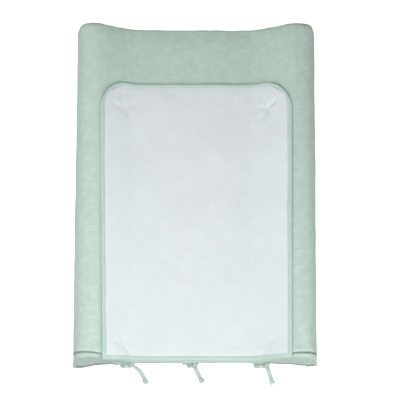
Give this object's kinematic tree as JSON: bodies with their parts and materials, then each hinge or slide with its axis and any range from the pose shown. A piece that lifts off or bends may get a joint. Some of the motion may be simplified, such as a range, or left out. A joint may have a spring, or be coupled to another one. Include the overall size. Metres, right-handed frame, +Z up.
{
  "type": "changing pad",
  "caption": "Contoured changing pad with raised sides, a fitted cover tied shut at the foot and a terry towel on snap fasteners.",
  "frame": {"origin": "middle of the underside, on the surface that the pad lies on", "axes": "+X to the right side seen from the foot end, +Y towards the head end, +Z up"},
  "size_m": [0.5, 0.758, 0.1044],
  "materials": {
    "cover_fabric": "matte tonal jacquard",
    "base_cloth": "matte plain weave",
    "tie_tape": "matte flat tape",
    "binding": "matte bias binding",
    "terry": "looped terry pile",
    "towel_backing": "matte knit",
    "liner_film": "soft wipe-clean film",
    "foam": "open-cell foam",
    "snap_plastic": "satin moulded plastic"
  },
  "bodies": {
    "pad": {"foam_slab": "foam", "foam_bolster_left": "foam", "foam_bolster_right": "foam", "liner_upper": "liner_film", "liner_lower": "liner_film", "cover_top": "cover_fabric", "cover_side_left": "cover_fabric", "cover_side_right": "cover_fabric", "cover_head": "cover_fabric", "cover_base": "base_cloth", "cover_foot_flap": "cover_fabric", "cover_tuck_flap": "base_cloth", "hem_foot_flap": "tie_tape", "hem_tuck_flap": "tie_tape", "tie_left_upper": "tie_tape", "tie_left_lower": "tie_tape", "tie_left_knot": "tie_tape", "tie_left_end": "tie_tape", "tie_middle_upper": "tie_tape", "tie_middle_lower": "tie_tape", "tie_middle_knot": "tie_tape", "tie_middle_end": "tie_tape", "tie_right_upper": "tie_tape", "tie_right_lower": "tie_tape", "tie_right_knot": "tie_tape", "tie_right_end": "tie_tape", "snap_studs": "snap_plastic", "snap_stud_backs": "snap_plastic"},
    "towel": {"towel_terry": "terry", "towel_backing": "towel_backing", "towel_binding": "binding", "snap_sockets": "snap_plastic", "snap_caps": "snap_plastic"}
  },
  "joints": [
    {"name": "towel_lift", "type": "slide", "parent": "pad", "child": "towel", "axis": [0, 0, 1], "range_m": [0, 0.15]}
  ]
}
